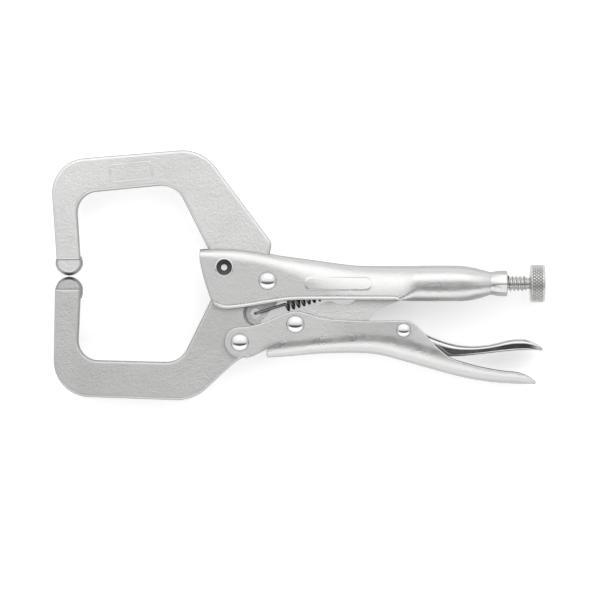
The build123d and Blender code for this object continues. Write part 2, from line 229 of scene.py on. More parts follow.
def lathe(name, profile, segments, origin, axis, wave=None, sharp=35.0):
    """A body of revolution about X or Z from (radius, distance) points; wave changes the radius."""
    angles = np.linspace(0, 2 * math.pi, segments, endpoint=False)
    vertices = []
    for radius, distance in profile:
        r = np.full(segments, float(radius))
        if wave is not None:
            r = wave(r, distance, angles)
        across = np.column_stack([r * np.cos(angles), r * np.sin(angles), np.full(segments, distance)])
        vertices.append(across)
    points = np.concatenate(vertices)
    if axis == "X":
        points = points[:, [2, 0, 1]]
    faces = []
    rows = len(profile)
    for i in range(rows - 1):
        for k in range(segments):
            n = (k + 1) % segments
            a = i * segments
            b = a + segments
            faces.append((a + k, a + n, b + n, b + k))
    if profile[0][0] > 0:
        faces.append(tuple(range(segments - 1, -1, -1)))
    if profile[-1][0] > 0:
        faces.append(tuple(range((rows - 1) * segments, rows * segments)))
    return mesh_object(name, points + np.array(origin), faces, sharp)


# ---------------------------------------------------------------- materials

MOTTLE = 45.0                     # cloudy patches per metre
EDGE_SHADE_RANGE = (0.48, 0.72)        # how squarely a surface faces the side, from painted edge shade to full tone
FLOOR_DARK = (0.83, 0.83, 0.83)
FLOOR_LIGHT = (0.85, 0.85, 0.85)
FLOOR_GLOW = 0.42


def new_material(name):
    """An empty node material with its shader and a coordinate node in object space."""
    material = bpy.data.materials.new(name)
    material.use_nodes = True
    nodes = material.node_tree.nodes
    shader = nodes["Principled BSDF"]
    place = nodes.new("ShaderNodeTexCoord")
    return material, nodes, material.node_tree.links, shader, place.outputs["Object"]


def noise(nodes, links, place, scale, detail, roughness=0.55):
    """A noise texture in object space; scale is in features per metre."""
    texture = nodes.new("ShaderNodeTexNoise")
    texture.inputs["Scale"].default_value = scale
    texture.inputs["Detail"].default_value = detail
    texture.inputs["Roughness"].default_value = roughness
    links.new(place, texture.inputs["Vector"])
    return texture.outputs["Fac"]


def ramp(nodes, links, value, low, high, start=0.3, end=0.7):
    """A value or colour between low and high, as value goes from start to end."""
    band = nodes.new("ShaderNodeMapRange")
    band.inputs["From Min"].default_value = start
    band.inputs["From Max"].default_value = end
    band.inputs["To Min"].default_value = low
    band.inputs["To Max"].default_value = high
    links.new(value, band.inputs["Value"])
    return band.outputs["Result"]


def mix_colour(nodes, links, factor, first, second):
    """A colour between first and second."""
    mix = nodes.new("ShaderNodeMix")
    mix.data_type = "RGBA"
    mix.inputs["A"].default_value = (*first, 1)
    mix.inputs["B"].default_value = (*second, 1)
    links.new(factor, mix.inputs["Factor"])
    return mix.outputs["Result"]


def bump(nodes, links, height, strength, distance, normal=None):
    """A bump of that depth in metres."""
    node = nodes.new("ShaderNodeBump")
    node.inputs["Strength"].default_value = strength
    node.inputs["Distance"].default_value = distance
    links.new(height, node.inputs["Height"])
    if normal is not None:
        links.new(normal, node.inputs["Normal"])
    return node.outputs["Normal"]


def paint_edge_shade(nodes, links, plate, edge_shade_colour):
    """The plate's tone where a surface faces the tool's sides, and a darker tone round its edges as painted
    shade.
    """
    coordinates = nodes.new("ShaderNodeTexCoord")
    parts = nodes.new("ShaderNodeSeparateXYZ")
    links.new(coordinates.outputs["Normal"], parts.inputs["Vector"])
    facing = nodes.new("ShaderNodeMath")
    facing.operation = "ABSOLUTE"
    links.new(parts.outputs["Z"], facing.inputs[0])
    share = ramp(nodes, links, facing.outputs["Value"], 0.0, 1.0, *EDGE_SHADE_RANGE)
    blend = nodes.new("ShaderNodeMix")
    blend.data_type = "RGBA"
    blend.inputs["A"].default_value = (*edge_shade_colour, 1)
    links.new(share, blend.inputs["Factor"])
    links.new(plate, blend.inputs["B"])
    return blend.outputs["Result"]


def plated_steel(name, dark, light, rough, grain, depth, edge_shade_factor=1.0):
    """Nickel-plated steel: mottled tone, uneven gloss and a fine grain in the surface.

    grain is in features per metre and depth in metres. Surfaces that don't face the tool's sides
    have painted shade: the dark tone times the edge-shade factor.
    """
    material, nodes, links, shader, place = new_material(name)
    shader.inputs["Metallic"].default_value = 1.0
    cloud = noise(nodes, links, place, MOTTLE, 4.0)
    tone = ramp(nodes, links, cloud, 0.0, 1.0, 0.3, 0.7)
    plate = mix_colour(nodes, links, tone, dark, light)
    # painted shade round the edges, where a surface turns away from the tool's sides
    if edge_shade_factor < 1.0:
        edge_shade_colour = [channel * edge_shade_factor for channel in dark]
        plate = paint_edge_shade(nodes, links, plate, edge_shade_colour)
    links.new(plate, shader.inputs["Base Color"])
    gloss = noise(nodes, links, place, MOTTLE * 4, 3.0)
    links.new(ramp(nodes, links, gloss, rough - 0.05, rough + 0.05), shader.inputs["Roughness"])
    fine = noise(nodes, links, place, grain, 3.0, 0.7)
    wide = noise(nodes, links, place, grain / 2.5, 2.0)
    normal = bump(nodes, links, wide, 0.6, depth)
    normal = bump(nodes, links, fine, 1.0, depth, normal)
    links.new(normal, shader.inputs["Normal"])
    return material


def floor_material():
    """A plain pale studio floor that glows a little, which keeps the tool's shadow light."""
    material, nodes, links, shader, place = new_material("studio_floor")
    shader.inputs["Roughness"].default_value = 0.9
    shader.inputs["Specular IOR Level"].default_value = 0.1
    cloud = noise(nodes, links, place, 3.0, 2.0)
    tone = mix_colour(nodes, links, cloud, FLOOR_DARK, FLOOR_LIGHT)
    links.new(tone, shader.inputs["Base Color"])
    shader.inputs["Emission Color"].default_value = (1, 1, 1, 1)
    shader.inputs["Emission Strength"].default_value = FLOOR_GLOW
    return material


# each material's edge-shade factor below darkens its edges as painted shade
FORGED = plated_steel("plated_forging", (0.68, 0.68, 0.675), (0.76, 0.76, 0.755),
                      rough=0.38, grain=2400.0, depth=0.00012, edge_shade_factor=0.4)
# a darker copy of the forging: painted shade for the movable jaw, where less light falls
FORGED_SHADED = plated_steel("plated_forging_painted_shade", (0.52, 0.52, 0.515), (0.59, 0.59, 0.585),
                           rough=0.38, grain=2400.0, depth=0.00013, edge_shade_factor=0.48)
SHEET = plated_steel("plated_sheet", (0.59, 0.59, 0.585), (0.65, 0.65, 0.645),
                     rough=0.30, grain=2000.0, depth=0.00007, edge_shade_factor=0.71)
LEVER = plated_steel("plated_lever", (0.57, 0.57, 0.565), (0.63, 0.63, 0.625),
                     rough=0.16, grain=2000.0, depth=0.000008)
RIVET = plated_steel("rivet_steel", (0.68, 0.68, 0.68), (0.72, 0.72, 0.72),
                     rough=0.12, grain=1500.0, depth=0.000003)
# a near-black ring painted as shade in the crevice where a rivet meets the sheet
RIVET_RIM_SHADE = plated_steel("rivet_rim_painted_shade", (0.16, 0.16, 0.16), (0.24, 0.24, 0.24),
                          rough=0.30, grain=1500.0, depth=0.000005)
# almost black, painted as shade in the tubular rivet's funnel
FUNNEL_SHADE = plated_steel("rivet_funnel_painted_shade", (0.06, 0.06, 0.062), (0.14, 0.14, 0.142),
                      rough=0.40, grain=1500.0, depth=0.00001)
WIRE = plated_steel("spring_wire", (0.24, 0.24, 0.245), (0.34, 0.34, 0.345),
                    rough=0.28, grain=3000.0, depth=0.000004)
THREAD = plated_steel("screw_steel", (0.50, 0.50, 0.495), (0.56, 0.56, 0.555),
                      rough=0.28, grain=2500.0, depth=0.000006)
KNURL = plated_steel("knurled_steel", (0.50, 0.50, 0.49), (0.57, 0.57, 0.56),
                     rough=0.34, grain=2500.0, depth=0.000006)


def dress(thing, material, body=None, node=None):
    """Gives a piece its material, the body that it rides on and the node it stands for."""
    thing.data.materials.clear()
    thing.data.materials.append(material)
    if body is not None:
        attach(thing, body)
    if node is not None:
        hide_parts(node)


def repaint(node, material):
    """Gives a CAD node a better material."""
    for slot in frame["nodes"][node].material_slots:
        slot.material = material


# ---------------------------------------------------------------- upper handle

SHEET_THICKNESS = 1.4
SHEET_RIM = 0.15
JAW_SLOT_HALF = 3.5
JAW_SLOT_END = 1.0
GRIP_END = 67.4
GRIP_CLOSES = (38.5, 46.0)        # where the walls curl under into the oval grip
GRIP_SLOT_HALF = 2.9
GRIP_SLOT_TAPER = 1.9
GRIP_SLOT_NARROWS = (56.0, 62.0)
LOBE_HEIGHT = 5.0
LOBE_WIDTH = 4.2
LOBE_SHARE = 0.46                 # the most of the section's height that the lower lobe takes
WALL_Z = 3.0                      # the wall's points stand further out than this
LIP_REACH = 2.2
GRIP_STEP = 0.16
PAD_MIDDLE = (21.4, -0.9)
PAD_LENGTH = 20.5
PAD_WIDTH = 4.2
PAD_HEIGHT = 0.17
PAD_BEVEL = 0.45
TOP_ROWS = 4
WALL_ROWS = 84
EDGE_ROWS = 24                    # the wall's last rows, closer together along its rolled lip
FRONT_COLUMNS = 26
FRONT_PASSES = 6
HANDLE_COLUMNS = 280

UPPER_TOP = [(-20.6, 9.6), (-13, 9.75), (-8.5, 9.5), (-4, 8.95), (0.6, 8.2), (5.2, 7.45), (9.8, 6.85),
             (14.3, 6.25), (18.9, 5.6), (23.5, 5.0), (28, 4.6), (34, 4.5), (42, 4.55), (52, 4.65),
             (58, 4.6), (61.5, 4.2), (64.5, 3.5), (GRIP_END, 2.7)]
UPPER_LOW = [(-15.6, -7.6), (-14.6, -8.2), (-13.4, -8.55), (-12.0, -8.65), (-10, -8.5), (-5.5, -7.9),
             (0.6, -6.9), (5.2, -6.25), (9.8, -5.95), (20, -5.9), (40, -5.95), (46, -6.3), (55, -6.35),
             (60, -6.1), (64, -5.4), (GRIP_END, -4.3)]
UPPER_HALF = [(-21, 5.3), (6, 5.3), (18, 5.45), (30, 5.85), (40, 6.25), (46, 6.35), (54, 6.3), (60, 5.9),
              (64, 4.9), (GRIP_END, 3.5)]
ROLL_HEIGHT = [(-21, 2.4), (-8.5, 3.9), (0.6, 4.3), (6.7, 5.4), (12, 7.2), (18, 9.4), (24, 10.6),
               (30, 10.4), (38, 10.3), (41, 9.0), (45, 5.6), (54, 5.3), (61, 5.0), (GRIP_END, 3.4)]
ROLL_WIDTH = [(-21, 2.2), (-8.5, 2.4), (0.6, 2.8), (8, 3.4), (18, 4.2), (28, 4.9), (40, 5.4), (60, 5.3),
              (GRIP_END, 3.2)]
LIP = [(0.0, -0.2), (0.2, 0.0), (0.4, 0.08), (0.62, 0.06), (0.85, -0.06), (0.98, -0.09), (1.3, 0.0),
       (90.0, 0.0)]
FRONT_EDGE = [(-7.6, -15.9), (-6.5, -16.7), (-5.3, -17.3), (-3.0, -18.1), (0.0, -19.1), (4.0, -20.1),
              (7.0, -20.6), (9.8, -20.5)]


def upper_section(x):
    """Half of the upper handle's section at x, from the top's middle to its lower edge: (z, y)."""
    top = smooth(x, UPPER_TOP)
    low = smooth(x, UPPER_LOW)
    half = smooth(x, UPPER_HALF)
    closing = ease(x, *GRIP_CLOSES)
    roll_width = min(smooth(x, ROLL_WIDTH), half - 0.3)
    roll_height = min(smooth(x, ROLL_HEIGHT), top - low - 0.05)
    low_height = closing * min(LOBE_HEIGHT, (top - low) * LOBE_SHARE)
    low_width = closing * min(LOBE_WIDTH, half - 1.0)
    roll_height = min(roll_height, top - low - low_height)
    turn = np.linspace(0, math.pi / 2, 60)
    corner_z = half - roll_width + roll_width * np.sin(turn)
    corner_y = top - roll_height + roll_height * np.cos(turn)
    points = [np.array([[0.0, top]]), np.column_stack([corner_z, corner_y])]
    if low_height > 0.02:
        under_z = half - low_width + low_width * np.cos(turn)
        under_y = low + low_height - low_height * np.sin(turn)
        under = np.column_stack([under_z, under_y])
        gap = GRIP_SLOT_HALF - GRIP_SLOT_TAPER * ease(x, *GRIP_SLOT_NARROWS)
        points.append(under[under[:, 0] >= gap])
        slot = max(half - low_width - closing * (half - low_width), gap)
        if slot < half - low_width:
            points.append(np.array([[slot, low]]))
    else:
        points.append(np.array([[half, low]]))
    return np.concatenate(points)


def pad_height(x, y):
    """The height of the plain oblong pad pressed into the wall, at a point of the wall."""
    dx = np.maximum(np.abs(x - PAD_MIDDLE[0]) - (PAD_LENGTH - PAD_WIDTH) / 2, 0.0)
    inside = PAD_WIDTH / 2 - np.hypot(dx, y - PAD_MIDDLE[1])
    return PAD_HEIGHT * ease(inside, 0.0, PAD_BEVEL)


def split_section(x):
    """The section's points at x: TOP_ROWS cells to the jaw slot's edge, then WALL_ROWS cells down."""
    section = upper_section(x)
    total = length(section) - SHEET_RIM
    edge = np.linspace(LIP_REACH, 0, EDGE_ROWS + 1)
    wall = np.linspace(JAW_SLOT_HALF, total - LIP_REACH, WALL_ROWS - EDGE_ROWS + 1)
    runs = np.concatenate([np.linspace(0, JAW_SLOT_HALF, TOP_ROWS + 1), wall[1:], total - edge[1:]])
    points = sample(section, runs)
    lip = ease(x, -16.5, -14.0) * (1 - ease(x, 38.5, 42.0))
    if lip > 0:
        points[:, 0] += lip * smooth(total - runs, LIP)
    points[:, 0] += pad_height(x, points[:, 1]) * (points[:, 0] > WALL_Z)
    closing = ease(x, 39.5, 46.0) * (1 - ease(x, 60.0, 66.0))
    points[:, 0] -= closing * GRIP_STEP * (1 - ease(points[:, 1], -2.3, 0.4)) * (points[:, 0] > WALL_Z)
    return points


_sections = {}


def row_point(x, j):
    """One row's point of the section at x, to the nearest hundredth of a millimetre."""
    key = round(float(x), 2)
    if key not in _sections:
        _sections[key] = split_section(key)
    return _sections[key][j]


def front_column(share):
    """A column from the curved front edge, at share 0, towards the end of the jaw slot, at 1."""
    xs = np.full(TOP_ROWS + WALL_ROWS + 1, JAW_SLOT_END)
    for _ in range(FRONT_PASSES):
        ys = [row_point(x, j)[1] for j, x in enumerate(xs)]
        edge = smooth(np.array(ys), FRONT_EDGE) + SHEET_RIM
        xs = edge + (JAW_SLOT_END - edge) * share
    column = []
    for j, x in enumerate(xs):
        z, y = row_point(x, j)
        column.append((x, y, z))
    return column


def upper_side():
    """Columns of one side of the upper handle, from the front edge to the end of the grip."""
    columns = [front_column(i / FRONT_COLUMNS) for i in range(FRONT_COLUMNS)]
    for x in np.linspace(JAW_SLOT_END, GRIP_END, HANDLE_COLUMNS):
        columns.append([(x, y, z) for z, y in split_section(x)])
    return columns


def upper_handle():
    """The folded sheet: walls and roll, a slot for the jaw, an oval grip closing round a slot."""
    side = upper_side()
    middle = TOP_ROWS + WALL_ROWS

    def skip(i, j):
        return i < FRONT_COLUMNS and abs(j + 0.5 - middle) < TOP_ROWS

    faces = grid_faces(len(side), 2 * middle + 1, skip)
    thing = mesh_object("upper_handle_sheet", both_sides(side), faces)
    drop_loose(thing)
    thicken(thing, SHEET_THICKNESS, SHEET_RIM)
    dress(thing, SHEET, ROOT, "upper_handle")


def drop_loose(thing):
    """Removes points that no face uses."""
    mesh = thing.data
    used = np.zeros(len(mesh.vertices), bool)
    corner = np.zeros(len(mesh.loops), np.int32)
    mesh.loops.foreach_get("vertex_index", corner)
    used[corner] = True
    points = np.zeros(len(mesh.vertices) * 3)
    mesh.vertices.foreach_get("co", points)
    points = points.reshape(-1, 3)
    index = np.cumsum(used) - 1
    faces = [[int(index[v]) for v in p.vertices] for p in mesh.polygons]
    clean = bpy.data.meshes.new(mesh.name)
    clean.from_pydata(points[used].tolist(), [], faces)
    clean.update()
    thing.data = clean
    shade(thing, 35)


def neck():
    """The neck that holds the screw: round at the grip, and a rounded octagon behind it."""
    screw = node_box("adjusting_screw")
    axis_y = (screw[0][1] + screw[1][1]) / 2
    end = node_box("upper_handle")[1][0]
    start = GRIP_END - 1.6
    bore = 2.56
    round_share = 0.97
    ridge_share = 0.965
    ridge_softness = 0.35

    def octagon(r, distance, angles):
        folded = np.mod(angles, math.pi / 4) - math.pi / 8
        flat = r * math.cos(math.pi / 8) / np.cos(folded)
        blunt = r * ridge_share
        faceted = np.minimum(flat, blunt + (flat - blunt) * ridge_softness)
        plain = r * round_share
        return plain + (faceted - plain) * ease(distance, GRIP_END - 0.4, GRIP_END + 4.2)

    profile = [(bore, start + 1.0), (3.0, start), (3.45, start + 0.1)]
    for x in np.linspace(start + 0.6, end - 0.9, 24):
        profile.append((3.52 + 0.48 * ease(x, GRIP_END - 0.8, GRIP_END + 3.2), x))
    profile += [(4.0, end - 0.5), (3.93, end - 0.2), (3.7, end), (2.75, end), (bore, end - 0.2),
                (bore, start + 1.0)]
    thing = lathe("handle_neck", profile, 192, (0, axis_y, 0), "X", octagon, sharp=25)
    dress(thing, SHEET, ROOT)
    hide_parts("upper_handle")


# ---------------------------------------------------------------- lower handle

EAR_CENTRE = centre("handle_hinge")
EAR_RADIUS = 4.3
LOWER_THICKNESS = 1.2
CREASE_LEAN = 0.12
CREASE_REACH = 1.9
WALL_LEAN = 0.045
WRINKLE_DEPTH = 0.016
WEB_START = 0.1
LOWER_TOP = [(-8.4, -14.3), (-7, -14.25), (-4, -13.7), (-0.9, -12.8), (1.2, -11.9), (3.7, -10.75),
             (6.2, -9.85), (8.6, -9.45), (10.7, -9.85), (12.8, -10.5), (15.9, -11.4), (18.9, -11.9),
             (25, -12.25), (31, -12.5), (38.7, -12.4), (42.0, -12.4), (43.6, -12.9), (46.4, -15.3),
             (49.4, -18.6), (52, -21.2), (54.6, -23.3), (57, -24.4), (60, -25.4), (66.2, -26.9),
             (72.3, -27.85), (75.6, -28.15), (78.0, -28.8), (79.6, -29.6), (80.9, -30.5)]
LOWER_LOW = [(WEB_START, -23.25), (5, -22.95), (10, -22.55), (16, -22.05), (25, -21.85), (31, -22.05),
             (36, -22.9), (40, -24.0), (45, -25.4), (49.5, -26.7), (54, -27.95), (58.5, -29.1),
             (63, -30.0), (68, -30.7), (72, -31.05), (77, -31.25), (80.9, -31.3)]
LOWER_CREASE = [(WEB_START, -20.45), (2, -19.7), (10, -18.8), (19, -18.1), (25, -17.7), (30, -17.25),
                (36, -17.5), (40, -18.2), (46, -19.8), (52.5, -21.8), (60, -24.2), (70, -26.9),
                (80.9, -28.4)]
EAR_LOW = [(-8.4, -22.95), (-6.4, -23.1), (-4.2, -22.45), (-1.8, -21.35), (WEB_START, -20.45)]
LOWER_HALF = [(-13, 5.3), (40, 5.3), (50, 5.55), (60, 5.9), (70, 6.1), (75, 6.0), (78, 5.3), (80, 4.1),
              (80.9, 3.0)]
LOWER_ROLL = [(WEB_START, 2.6), (10, 3.4), (25, 4.4), (40, 4.7), (60, 5.0), (74, 5.3), (80.9, 2.6)]



def lower_section(x):
    """Half of the lower handle's section at x, from its upper edge to the web's middle: (z, y)."""
    top = smooth(x, LOWER_TOP)
    low = smooth(x, LOWER_LOW)
    crease = smooth(x, LOWER_CREASE)
    half = smooth(x, LOWER_HALF)
    roll = min(smooth(x, LOWER_ROLL), half - 0.3)
    drop = crease - low
    first = math.atan(3 * CREASE_LEAN / CREASE_REACH * drop / roll)
    turn = np.linspace(first, math.pi / 2, 80)
    z = half - CREASE_LEAN - (roll - CREASE_LEAN) * (math.cos(first) - np.cos(turn)) / math.cos(first)
    y = crease - drop * (np.sin(turn) - math.sin(first)) / (1 - math.sin(first))
    wall_y = np.linspace(max(top, crease), crease, 40)
    near = np.clip((crease + CREASE_REACH - wall_y) / CREASE_REACH, 0, 1)
    lean = WALL_LEAN * ease(x, 16, 26) * (1 - ease(x, 41, 46))
    wall_z = half - CREASE_LEAN * near**3 - lean * (wall_y[0] - wall_y)
    z = z - lean * (wall_y[0] - crease)
    points = np.concatenate([np.column_stack([wall_z, wall_y]), np.column_stack([z, y])[1:], [[0.0, low]]])
    if top < crease:
        at = np.interp(-top, -points[:, 1], np.arange(len(points)))
        z_top = np.interp(at, np.arange(len(points)), points[:, 0])
        points = np.concatenate([[[z_top, top]], points[int(math.ceil(at)) :]])
    return points, max(top - crease, 0.0)


def lower_handle():
    """The folded lever: two ears, a rolled web behind them, and a trough for a tail."""
    wall_rows = 30
    web_rows = 44
    ear_columns = 36
    web_columns = 380
    least_wall = 0.12
    columns = []
    for i in range(ear_columns + 1):
        t = i / ear_columns
        if t < 0.5:
            x = EAR_CENTRE[0] - EAR_RADIUS * math.cos(t / 0.5 * math.pi / 2)
            rise = math.sqrt(max(EAR_RADIUS**2 - (x - EAR_CENTRE[0]) ** 2, 0.0004))
            top = EAR_CENTRE[1] + rise
            low = EAR_CENTRE[1] - rise
        else:
            x = EAR_CENTRE[0] + (WEB_START - EAR_CENTRE[0]) * (t - 0.5) / 0.5
            top = smooth(x, LOWER_TOP)
            low = smooth(x, EAR_LOW)
        half = smooth(x, LOWER_HALF)
        near = np.linspace(0, 1, wall_rows + 1)
        share = ease(x, -3.0, WEB_START)
        above = top + (low - top) * near - low
        lean = CREASE_LEAN * share * np.clip((CREASE_REACH - above) / CREASE_REACH, 0, 1) ** 3
        wall = [(x, top + (low - top) * n, half - d) for n, d in zip(near, lean)]
        columns.append(wall + [wall[-1]] * web_rows)
    marks = np.random.default_rng(11)
    stations = np.linspace(WEB_START, LOWER_TOP[-1][0], web_columns)
    wrinkle = np.convolve(marks.normal(size=len(stations) + 2), [0.6, 1.0, 0.6], "valid")
    for x, mark in zip(stations, wrinkle):
        points, above = lower_section(x)
        total = length(points)
        split = max(above, least_wall * total)
        wall_runs = np.linspace(0, split, wall_rows + 1)
        web_runs = np.linspace(split, total, web_rows + 1)[1:]
        placed = sample(points, np.concatenate([wall_runs, web_runs]))
        crease = smooth(x, LOWER_CREASE)
        fade = ease(x, 0, 3) * (1 - ease(x, 42, 50))
        ripple = np.exp(-(((placed[:, 1] - crease - 0.35) / 0.45) ** 2))
        placed[:, 0] -= WRINKLE_DEPTH * mark * fade * ripple
        columns.append([(x, y, z) for z, y in placed])
    columns[ear_columns + 1][: wall_rows + 1] = columns[ear_columns][: wall_rows + 1]
    rows = 2 * (wall_rows + web_rows) + 1
    vertices = []
    for column in columns:
        vertices += [(x, y, -z) for x, y, z in column] + column[-2::-1]

    def skip(i, j):
        depth = j + 0.5 if j + 0.5 < rows / 2 else rows - 1.5 - j
        return i == ear_columns or (i < ear_columns and depth > wall_rows)

    thing = mesh_object("lower_handle_sheet", vertices, grid_faces(len(columns), rows, skip))
    weld(thing)
    thicken(thing, LOWER_THICKNESS, 0.3)
    dress(thing, SHEET, LOWER_BODY, "lower_handle")


def weld(thing):
    """Merges points that coincide and drops loose ones."""
    modifier = thing.modifiers.new("weld", "WELD")
    modifier.merge_threshold = WELD_DISTANCE * MM
    graph = bpy.context.evaluated_depsgraph_get()
    mesh = bpy.data.meshes.new_from_object(thing.evaluated_get(graph))
    thing.modifiers.clear()
    thing.data = mesh
    drop_loose(thing)


# ---------------------------------------------------------------- release lever

LEVER_SHEET = 1.2
LEVER_LEAN = 0.23
LEVER_TOP = [(37.6, -14.6), (38.4, -13.2), (40, -12.5), (42, -12.4), (44, -13.1), (46, -14.6),
             (47.6, -15.9), (49.4, -16.8), (52.5, -18.0), (55.5, -18.9), (58.6, -19.5), (62.2, -19.7),
             (66.2, -19.4), (69.2, -18.8), (72.3, -18.0), (75.0, -17.6), (77.2, -17.6), (79.6, -18.1),
             (81.6, -19.0), (82.8, -19.8), (83.3, -20.4)]
LEVER_LOW = [(37.6, -17.6), (43, -19.4), (48, -21.3), (52, -22.5), (55, -22.9), (58, -22.85),
             (61.6, -22.55), (66.2, -22.05), (70.8, -21.5), (75.3, -21.1), (80, -21.0), (83.3, -21.0)]
LEVER_HALF = [(37, 3.4), (58, 3.4), (64, 3.8), (70, 4.5), (76, 4.65), (79, 4.5), (81.5, 4.0),
              (82.6, 3.5), (83.3, 2.9)]


def release_lever():
    """The release lever: a sheet rolled over on top and curled under along its sides."""
    rows_half = 44
    columns = []
    for x in np.linspace(LEVER_TOP[0][0], LEVER_TOP[-1][0], 130):
        top = smooth(x, LEVER_TOP)
        low = smooth(x, LEVER_LOW)
        half = smooth(x, LEVER_HALF)
        curl = ease(x, 46.0, 52.0) * (1 - ease(x, 78.0, 83.0))
        roll = min((top - low) * 0.38, 1.5)
        turn = np.linspace(0, math.pi / 2, 40)
        over = np.column_stack([half - 2.0 + 2.0 * np.sin(turn), top - roll + roll * np.cos(turn)])
        knee = min(top - roll, low + 0.62 * (top - low))
        foot = low + 0.55 * curl
        foot_z = half - curl * LEVER_LEAN * (knee - foot)
        wall = np.array([[half, knee], [foot_z, foot]])
        tuck = curl * 1.2
        under = np.column_stack([foot_z - tuck + tuck * np.cos(turn), foot - (foot - low) * np.sin(turn)])
        under = np.concatenate([wall, under])
        points = np.concatenate([[[0.0, top]], over, under])
        columns.append([(x, y, z) for z, y in resample(points, rows_half)])
    rows = 2 * rows_half + 1
    thing = mesh_object("release_lever_sheet", both_sides(columns), grid_faces(len(columns), rows))
    thicken(thing, LEVER_SHEET, 0.2)
    dress(thing, LEVER, RELEASE, "release_lever")


# ---------------------------------------------------------------- screw, knob, spring, rivets


THREAD_PITCH = 1.15
THREAD_DEPTH = 0.62
NECK_DEPTH = 0.35
NECK_RADIUS = 2.08
KNOB_TEETH = 36
KNOB_GROOVE = 0.36
KNOB_DIAMOND = 1.3
TOOTH_POINTS = 14
SOCKET_RADIUS = 2.31
SPRING_HOOK = np.array([-3.7, -9.9])
SPRING_TAB = np.array([31.6, 1.1])
SPRING_LENGTH = 23.0
SPRING_LEG = 4.4
SPRING_RADIUS = 2.0
SPRING_TURNS = 14
TURN_POINTS = 16
WIRE_RADIUS = 0.44
RIVET_SHANK = 1.9
RIVET_RIM = 0.14
RIVET_SLOPE = math.radians(43)
FUNNEL_SHADE_RING = (0.86, 2.38)
FUNNEL_DROP = 0.25


def thread():
    """The adjusting screw: rounded tip, rolled thread, plain neck."""
    low, high = node_box("adjusting_screw")
    axis_y = (low[1] + high[1]) / 2
    major = (high[1] - low[1]) / 2
    tip = low[0]
    end = node_box("adjusting_knob")[0][0] - 1.1

    def helix(r, distance, angles):
        phase = np.mod(distance / THREAD_PITCH - angles / (2 * math.pi), 1.0)
        crest = ease(1.35 - np.abs(phase - 0.5) * 4.0, 0.0, 1.0)
        fade = ease(distance, tip + 0.8, tip + 2.2) * (1 - ease(distance, end - 1.0, end - 0.2))
        return r - THREAD_DEPTH * (1 - crest) * fade - NECK_DEPTH * (1 - fade) * (distance > tip + 2)

    profile = [(0.0, tip), (0.7, tip + 0.08), (1.3, tip + 0.3), (1.7, tip + 0.7), (major - 0.45, tip + 1.2)]
    for x in np.arange(tip + 1.5, end, THREAD_PITCH / TOOTH_POINTS):
        profile.append((major, x))
    profile += [(major - 0.4, end + 0.05), (NECK_RADIUS, end + 0.12), (NECK_RADIUS, high[0])]
    thing = lathe("adjusting_screw_thread", profile, ROUND, (0, axis_y, 0), "X", helix, sharp=40)
    dress(thing, THREAD, SCREW, "adjusting_screw")


def knob():
    """The knob: a diamond-knurled drum with plain rounded rims and a hexagon socket."""
    low, high = node_box("adjusting_knob")
    axis_y = (low[1] + high[1]) / 2
    radius = (high[1] - low[1]) / 2
    near = low[0]
    far = high[0]
    width = far - near

    def groove(angle):
        return np.clip(np.abs(np.mod(angle / (2 * math.pi), 1.0) - 0.5) * 2 * 2.6 - 1.6, 0, 1)

    def shaped(r, distance, angles):
        along = (distance - near) / width
        band = ease(along, 0.10, 0.16) * (1 - ease(along, 0.80, 0.86))
        slant = distance * 2 * math.pi / KNOB_DIAMOND
        diamonds = np.maximum(groove(angles * KNOB_TEETH + slant), groove(angles * KNOB_TEETH - slant))
        r = r - KNOB_GROOVE * diamonds * band
        if r[0] <= SOCKET_RADIUS and distance > near + 1.7:
            folded = np.mod(angles, math.pi / 3) - math.pi / 6
            r = r * math.cos(math.pi / 6) / np.cos(folded)
        return r

    profile = [(2.15, near + 1.6), (2.15, near), (radius - 0.7, near), (radius - 0.3, near + 0.08)]
    profile.append((radius - 0.05, near + 0.32))
    for along in np.linspace(0.1, 0.86, 70):
        profile.append((radius, near + along * width))
    for turn in np.linspace(0.1, 1.0, 8):
        a = turn * math.pi / 2
        profile.append((radius - 0.55 * (1 - math.cos(a)), far - 0.62 * (1 - math.sin(a))))
    profile += [(radius - 1.2, far - 0.02), (2.6, far - 0.02), (SOCKET_RADIUS, far - 0.25)]
    profile += [(SOCKET_RADIUS, far - 2.4), (0.0, far - 2.5)]
    segments = KNOB_TEETH * TOOTH_POINTS
    thing = lathe("adjusting_knob_knurl", profile, segments, (0, axis_y, 0), "X", shaped, sharp=38)
    dress(thing, KNURL, KNOB, "adjusting_knob")


def spring_route(span):
    """The wire's (along, up, z) points: a hook, a straight run, the coil, and a leg to the tab."""
    coil_end = span - SPRING_LEG
    coil_start = coil_end - SPRING_LENGTH
    route = [(0.0, 0.0, -2.0), (0.0, 0.0, -0.5), (0.0, 0.0, 1.2), (0.12, 0.0, 2.0), (0.7, 0.0, 2.3)]
    route += [(3.0, 0.0, 2.28), (coil_start - 2.2, 0.0, 2.15), (coil_start - 0.6, 0.0, SPRING_RADIUS)]
    for k in range(SPRING_TURNS * TURN_POINTS + 1):
        turn = k / TURN_POINTS
        a = 2 * math.pi * turn
        along = coil_start + turn / SPRING_TURNS * SPRING_LENGTH
        route.append((along, -SPRING_RADIUS * math.sin(a), SPRING_RADIUS * math.cos(a)))
    route += [(coil_end + 0.7, 0.0, SPRING_RADIUS), (coil_end + 1.6, 0.0, 1.2), (span - 1.4, 0.0, 0.1)]
    route += [(span + 1.0, 0.0, 0.0), (span + 1.6, 0.5, 0.0), (span + 1.7, 1.6, 0.0)]
    return route


